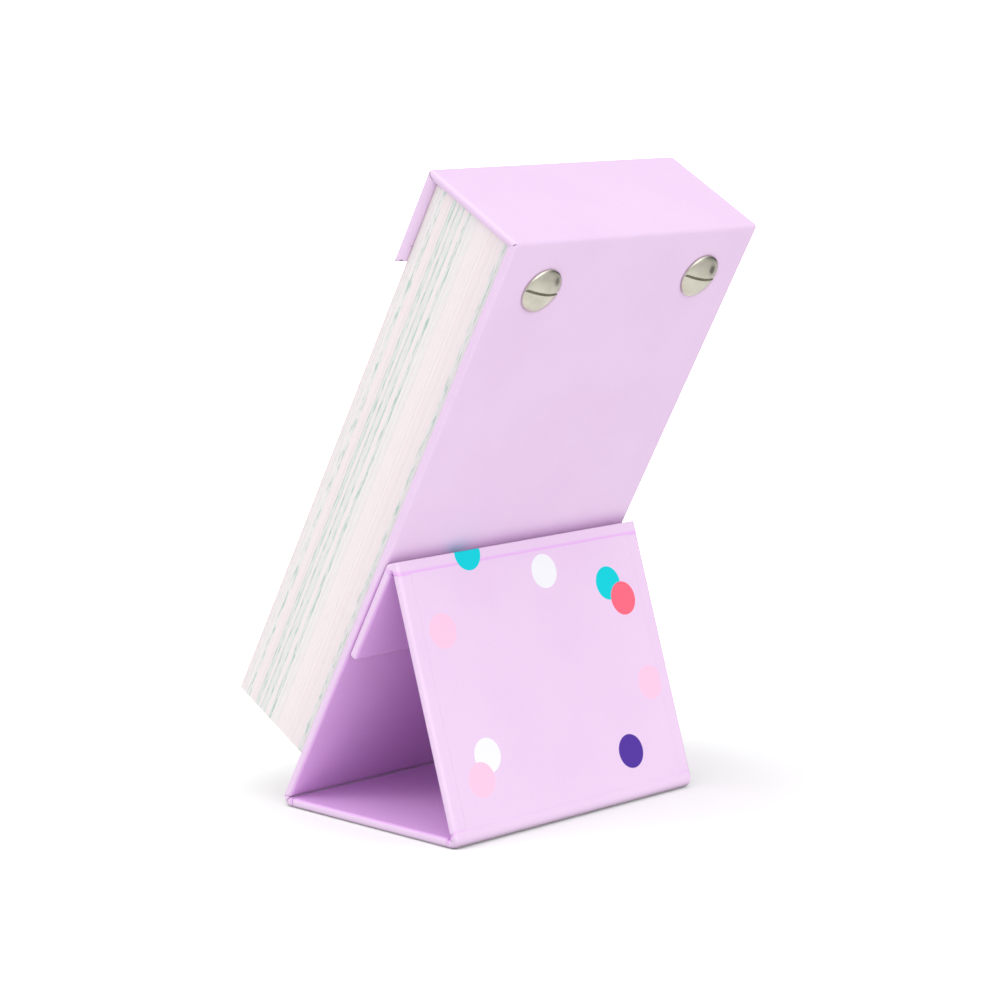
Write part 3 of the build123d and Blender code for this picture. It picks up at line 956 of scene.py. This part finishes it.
page_outline = leaf_outline(PAD_LOW, TODAY_HIGH, high_teeth=True)
today = leaf_stack("today_page", [TODAY_DEPTH], page_outline, False, 0.0)
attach(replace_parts(today, "today_leaf"), "today_leaf")
TEETH_CLEAR = 0.1  # lets the lifted page swing past the teeth of its head
stub_outline = leaf_outline(STUB_LOW + TEETH_CLEAR, PAD_HIGH, low_teeth=True)
stub = leaf_stack("today_head", [TODAY_DEPTH], stub_outline, True, 0.0)
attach(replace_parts(stub, "today_stub"), "case")

INK = 0.008  # thickness of the print
FIGURE_ALONG, RULE_ALONG = 72.0, 40.0  # from the lower fold
RULE_HALF, RULE_END = 16.0, 0.35


def printed(figure, name, body):
    """Finishes a printed piece."""
    figure.name = name
    settle(figure, ink, crease=30)
    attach(figure, body)


def written(words, size, along, depth):
    """Figure in plain type on a leaf."""
    curve = bpy.data.curves.new("draft", "FONT")
    curve.body, curve.size, curve.extrude = words, size, INK / 2
    curve.align_x, curve.align_y = "CENTER", "CENTER"
    curve.resolution_u = 8
    draft = bpy.data.objects.new("draft", curve)
    scene.collection.objects.link(draft)
    mesh = bpy.data.meshes.new_from_object(draft.evaluated_get(bpy.context.evaluated_depsgraph_get()))
    bpy.data.objects.remove(draft)
    bpy.data.curves.remove(curve)
    weld(mesh)
    figure = bpy.data.objects.new("figure", mesh)
    scene.collection.objects.link(figure)
    turn = np.column_stack((X, UP, OUT, case_spot(depth + INK / 2, along)))
    mesh.transform(Matrix([*map(list, turn), [0, 0, 0, 1]]))
    return figure


def rule(depth):
    """Thin rule with rounded ends."""
    turns = np.linspace(-math.pi / 2, math.pi / 2, 9)
    outline = []
    for side in (1, -1):
        for t in turns:
            outline.append((side * (RULE_HALF + RULE_END * math.cos(t)), side * RULE_END * math.sin(t)))
    return prism(outline, 0.0, INK, case_spot(depth, RULE_ALONG), X, UP, OUT)


figure_one = [
    (-1.5, -20.5), (4.3, -20.5), (4.3, 20.5), (-0.4, 20.5), (-10.6, 13.9), (-10.6, 8.2), (-1.5, 13.7),
]
one = prism(figure_one, 0.0, INK, case_spot(TODAY_FRONT, FIGURE_ALONG), X, UP, OUT)
printed(one, "today_figure", "today_leaf")
printed(rule(TODAY_FRONT), "today_rule", "today_leaf")
printed(written("2", 58.0, FIGURE_ALONG, NEXT_FRONT), "next_figure", "case")
printed(rule(NEXT_FRONT), "next_rule", "case")


# Screws and posts

HEAD = 5.0  # radius of a head
RIM = 0.5  # height of its rim, with a dome over it
RISE = 1.3
DOME = (HEAD**2 + RISE**2) / (2 * RISE)  # radius of the dome
CROWN = -(RIM + RISE)
THREAD, THREAD_ROOT, PITCH = 2.0, 1.86, 0.7
TIP = 7.0  # the screw's tip from the case's rear face
TILT = math.radians(8.0)  # screw slot from the level line
SLOT_HALF, SLOT_DEEP = 0.3, 1.35
POST, POST_BORE, POST_FOOT = 2.5, 2.05, 1.2  # radii, and the post's end from the case's rear face


def head_profile(shank, face, side):
    """Radius and depth down a low domed head, from its shank to its crown."""
    soft = 0.14
    points = [(shank, face), (HEAD - soft, face)]
    for t in (0.5, 1.05, 1.57):
        points.append((HEAD - soft + soft * math.sin(t), face + side * soft * (1 - math.cos(t))))
    shoulder = face + side * RIM
    lip = math.asin(HEAD / DOME)
    points.append((HEAD, shoulder - side * 0.1))
    for t in np.linspace(lip - 0.012, 0.0, 18):
        points.append((DOME * math.sin(t), shoulder + side * (RISE - DOME * (1 - math.cos(t)))))
    return points


def turned(name, profile, x, count=72):
    """Body turned about a binding axis from points (radius, depth)."""
    centre = LOWER + POST_ALONG * UP + x * X
    verts, rows, faces = [], [], []
    for radius, depth in profile:
        if radius < 1e-6:
            rows.append([len(verts)] * count)
            verts.append(centre + depth * OUT)
            continue
        rows.append(list(range(len(verts), len(verts) + count)))
        verts += [centre + depth * OUT + a * X + b * UP for a, b in circle(0.0, 0.0, radius, count)]
    for one, two in zip(rows, rows[1:]):
        for k in range(count):
            j = (k + 1) % count
            ring = list(dict.fromkeys((one[k], one[j], two[j], two[k])))
            if len(ring) > 2:
                faces.append(tuple(ring))
    return new_object(name, verts, faces)


screw_line = [(0.0, TIP), (THREAD - 0.25, TIP), (THREAD, TIP - 0.25)]
for k in range(9):
    low = TIP - 0.6 - PITCH * k
    screw_line += [(THREAD, low), (THREAD_ROOT, low - 0.2), (THREAD_ROOT, low - 0.3), (THREAD, low - 0.5)]
screw_line += head_profile(THREAD, 0.0, -1)
post_line = [(0.0, TIP + 2.0), (POST_BORE, TIP + 2.0), (POST_BORE, POST_FOOT + 0.2)]
post_line += [(POST_BORE + 0.15, POST_FOOT), (POST - 0.1, POST_FOOT), (POST, POST_FOOT + 0.1)]
post_line += head_profile(POST, CASE_DEPTH, 1)
slot_right = math.cos(TILT) * X + math.sin(TILT) * UP
slot_up = -math.sin(TILT) * X + math.cos(TILT) * UP
slot = [(-9.0, -SLOT_HALF), (9.0, -SLOT_HALF), (9.0, SLOT_HALF), (-9.0, SLOT_HALF)]

for name, x in (("left", -POST_X), ("right", POST_X)):
    screw = turned(f"{name}_screw_body", screw_line, x)
    spot = LOWER + POST_ALONG * UP + x * X
    carve(screw, [prism(slot, CROWN - 1.0, CROWN + SLOT_DEEP, spot, slot_right, slot_up, OUT)])
    settle(screw, plated, crease=38)
    soften = screw.modifiers.new("soften", "BEVEL")
    soften.width, soften.segments, soften.limit_method = 0.07 * MM, 2, "ANGLE"
    soften.angle_limit = math.radians(50)
    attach(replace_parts(screw, f"{name}_screw"), f"{name}_screw")

    post = turned(f"{name}_post_body", post_line, x)
    dress(post, plated, f"{name}_post", f"{name}_post", crease=38)


# Magnets, the only solids that aren't drawn again

for node_name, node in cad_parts.items():
    if node_name.endswith("_magnets"):
        for holder in node.material_slots:
            holder.material = dull_plated


# Stage, light and camera

def disc(name, rows, height, material, count=96):
    """Round sheet through rows (radius, rise), or a dish if the rows rise."""
    verts, faces = [np.array((0.0, 0.0, height))], []
    for radius, rise in rows:
        verts += [np.array((x, y, height + rise)) for x, y in circle(0.0, 0.0, radius, count)]
    for k in range(count):
        j = (k + 1) % count
        faces.append((0, 1 + k, 1 + j))
        for row in range(len(rows) - 1):
            a = 1 + count * row
            faces.append((a + k, a + count + k, a + count + j, a + j))
    sheet = new_object(name, verts, faces)
    settle(sheet, material)
    if sheet.data.polygons[0].normal.z < 0:
        sheet.data.flip_normals()
    return sheet


# The white sweep is only looked at; the surroundings below give the light that it would throw back
SWEEP = ((120, 0), (400, 0), (1200, 0), (3000, 0), (3700, 120), (4200, 500), (4450, 1200), (4500, 9000))
floor = disc("floor", SWEEP, -0.02, floor_paper())
floor.visible_diffuse = floor.visible_glossy = floor.visible_shadow = False


def off_camera(card, blocks_light):
    """A card that only the metal sees, or one that only blocks light."""
    card.visible_camera = False
    card.visible_glossy = not blocks_light
    card.visible_diffuse = card.visible_shadow = blocks_light


def card_plate(name, middle, normal, wide, high, material):
    """Thin oval card facing a direction."""
    normal = np.array(normal) / np.linalg.norm(normal)
    side = np.cross(normal, Y)
    side /= np.linalg.norm(side)
    outline = [(wide * x, high * y) for x, y in circle(0.0, 0.0, 1.0, 32)]
    card = prism(outline, -0.2, 0.2, np.array(middle, float), side, np.cross(normal, side), normal)
    card.name = name
    settle(card, material)
    return card


black_card = card_paper("black_card", 0.0, 0.0)
glow_card = card_paper("glow_card", 1.1, 0.75)
mirror_card = disc("mirror_card", ((150, 0), (300, 0), (700, 0)), -1.0, glow_card)
off_camera(mirror_card, False)
off_camera(card_plate("dark_patch", (-335.0, 112.0, 0.0), (0, 0, 1), 85.0, 62.0, black_card), False)
off_camera(card_plate("rim_flag", (110.0, 5.0, 220.0), (0.65, -0.2, 0.69), 55.0, 55.0, black_card), False)

SHADE_X, SHADE_Y = HALF + 0.7, BASE_LENGTH / 2 + 2.7  # keeps light from under the base's edges
outline = [(SHADE_X, -SHADE_Y), (SHADE_X, SHADE_Y), (-SHADE_X, SHADE_Y), (-SHADE_X, -SHADE_Y)]
shade_card = prism(outline, -0.14, -0.1, np.zeros(3), X, Y, Z)
shade_card.name = "shade_card"
settle(shade_card, black_card)
off_camera(shade_card, True)

SKY = (  # azimuth from +X towards +Y, elevation, strength, how tightly gathered
    (0, 90, 0.62, 8), (0, 55, 0.7, 8), (60, 55, 0.5, 8), (120, 55, 1.0, 8), (180, 55, 0.3, 8),
    (240, 55, 0.35, 8), (300, 55, 0.7, 8), (45, 18, 0.55, 8), (90, 18, 1.24, 8), (270, 18, 0.4, 8),
    (315, 18, 0.4, 8), (330, 30, 4.0, 30), (0, 0, 1.1, 50), (45, -18, 0.6, 8), (90, -18, 1.1, 8),
    (135, -18, 0.1, 8), (270, -18, 0.35, 8), (315, -18, 0.25, 8), (0, -55, 0.75, 8), (60, -55, 0.6, 8),
    (120, -55, 0.5, 8), (180, -55, 0.1, 8), (240, -55, 0.25, 8), (300, -55, 0.65, 8),
)


def studio():
    """Surroundings as a sum of soft round lights."""
    n = Nodes(bpy.data.worlds.new("studio"), "Background")
    where = n.add("ShaderNodeTexCoord").outputs["Generated"]
    total = None
    for azimuth, elevation, strength, gather in SKY:
        a, e = math.radians(azimuth), math.radians(elevation)
        facing = n.along(where, (math.cos(a) * math.cos(e), math.sin(a) * math.cos(e), math.sin(e)))
        glow = n.math("EXPONENT", n.math("MULTIPLY", n.math("SUBTRACT", facing, 1.0), gather))
        glow = n.math("MULTIPLY", glow, strength * KEY)
        total = n.math("ADD", total, glow) if total else glow
    n.set(Color=(1.0, 1.0, 1.0, 1.0), Strength=total)
    return n.owner


scene.world = studio()

# Camera at the photograph's angle
AZIMUTH, ELEVATION, ROLL = math.radians(135.229), math.radians(8.81), math.radians(-0.565)
TARGET = np.array((-4.994, -0.9, 64.713))
DISTANCE = 649.67
back = np.array((
    math.sin(AZIMUTH) * math.cos(ELEVATION), -math.cos(AZIMUTH) * math.cos(ELEVATION), math.sin(ELEVATION),
))
right = np.cross(-back, Z)
right /= np.linalg.norm(right)
up = np.cross(right, -back)
right, up = (
    math.cos(ROLL) * right + math.sin(ROLL) * up, math.cos(ROLL) * up - math.sin(ROLL) * right,
)
lens = bpy.data.cameras.new("camera")
lens.sensor_width, lens.lens = 36.0, 108.15
lens.clip_start, lens.clip_end = 0.01, 30.0
camera = bpy.data.objects.new("camera", lens)
scene.collection.objects.link(camera)
stand_point = (TARGET + DISTANCE * back) * MM
camera.matrix_world = Matrix([*map(list, np.column_stack((right, up, back, stand_point))), [0, 0, 0, 1]])
scene.camera = camera

scene.view_settings.view_transform = "Standard"
scene.view_settings.look = "None"
scene.cycles.max_bounces = 10
scene.cycles.diffuse_bounces = 7
scene.cycles.glossy_bounces = 4
